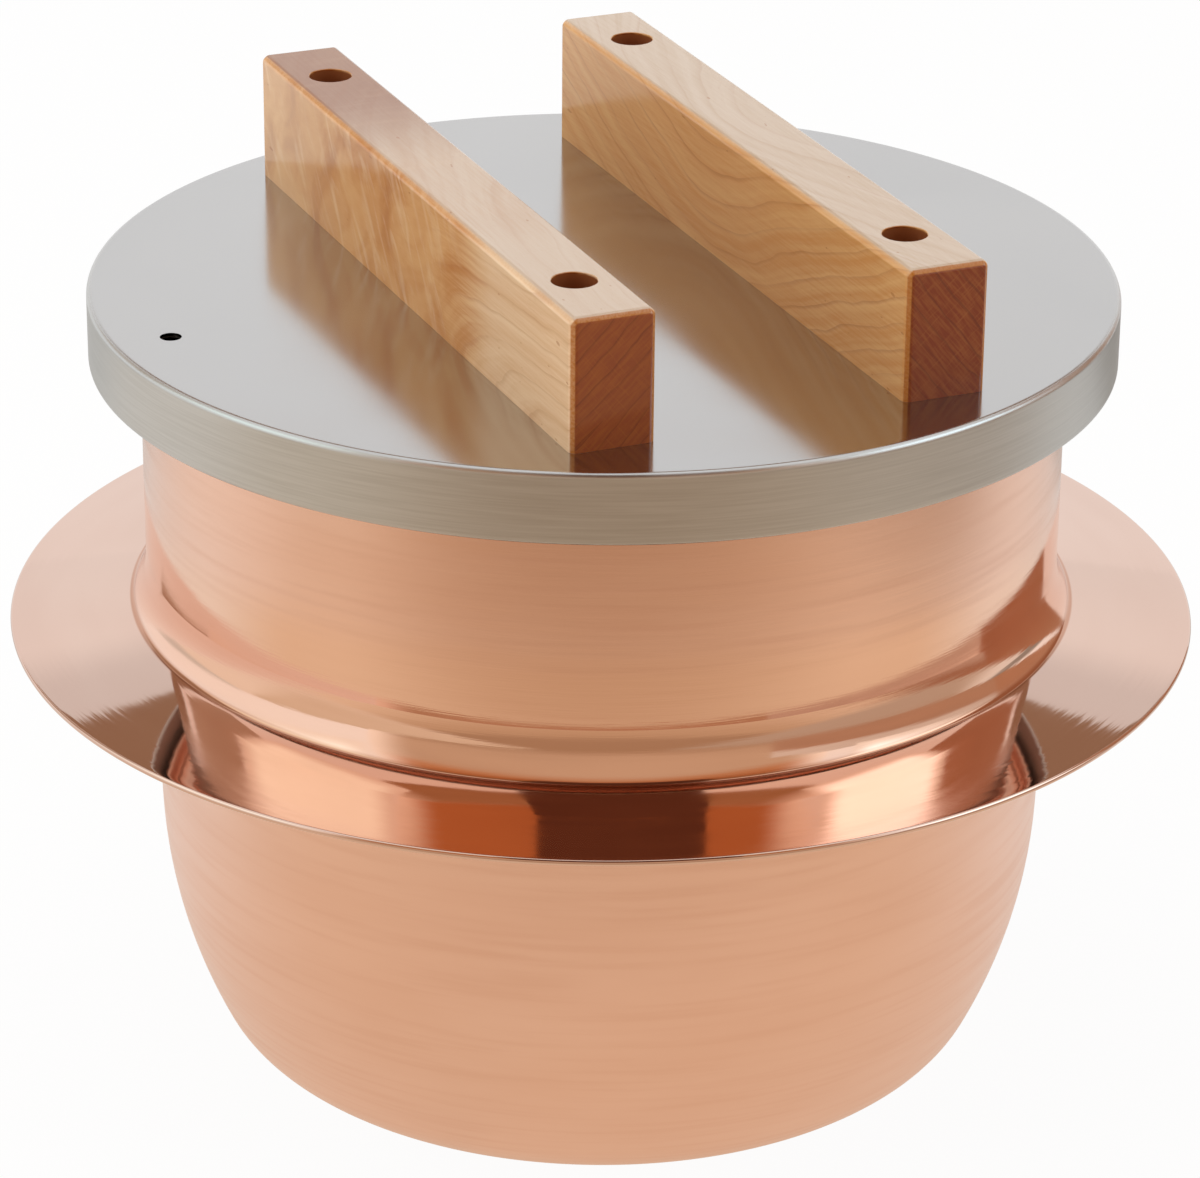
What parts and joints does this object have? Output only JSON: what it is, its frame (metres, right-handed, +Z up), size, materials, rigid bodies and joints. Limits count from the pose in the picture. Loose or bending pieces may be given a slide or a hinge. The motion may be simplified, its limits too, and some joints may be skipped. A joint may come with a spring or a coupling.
{
  "type": "copper rice pot",
  "caption": "Round copper rice pot with a broad polished brim at mid height, a flat steel cap lid with a steam vent, and two wooden lifting bars screwed across the lid.",
  "frame": {"origin": "middle of the pot's flat base", "axes": "+Z up along the pot's axis, +Y along the lifting bars to their rear ends, +X from the left bar to the right bar; the steam vent is on the -X side"},
  "size_m": [0.26, 0.26, 0.2046],
  "materials": {
    "satin_copper": "satin copper with fine turned lines",
    "polished_copper": "mirror-polished copper",
    "brushed_steel": "satin stainless sheet",
    "left_wood": "clear-lacquered figured hardwood",
    "right_wood": "clear-lacquered pale hardwood",
    "screw_steel": "plain stainless",
    "washer_steel": "plain stainless",
    "nut_steel": "polished stainless"
  },
  "bodies": {
    "pot": {"pot_body": "satin_copper", "brim_ring": "polished_copper"},
    "lid": {"lid_plate": "brushed_steel", "left_bar": "left_wood", "right_bar": "right_wood", "left_front_screw": "screw_steel", "left_rear_screw": "screw_steel", "right_front_screw": "screw_steel", "right_rear_screw": "screw_steel", "left_front_head_washer": "washer_steel", "left_rear_head_washer": "washer_steel", "right_front_head_washer": "washer_steel", "right_rear_head_washer": "washer_steel", "left_front_lid_washer": "washer_steel", "left_rear_lid_washer": "washer_steel", "right_front_lid_washer": "washer_steel", "right_rear_lid_washer": "washer_steel", "left_front_cap_nut": "nut_steel", "left_rear_cap_nut": "nut_steel", "right_front_cap_nut": "nut_steel", "right_rear_cap_nut": "nut_steel"}
  },
  "joints": [
    {"name": "lid_lift", "type": "slide", "parent": "pot", "child": "lid", "axis": [0, 0, 1], "range_m": [0, 0.15]}
  ]
}
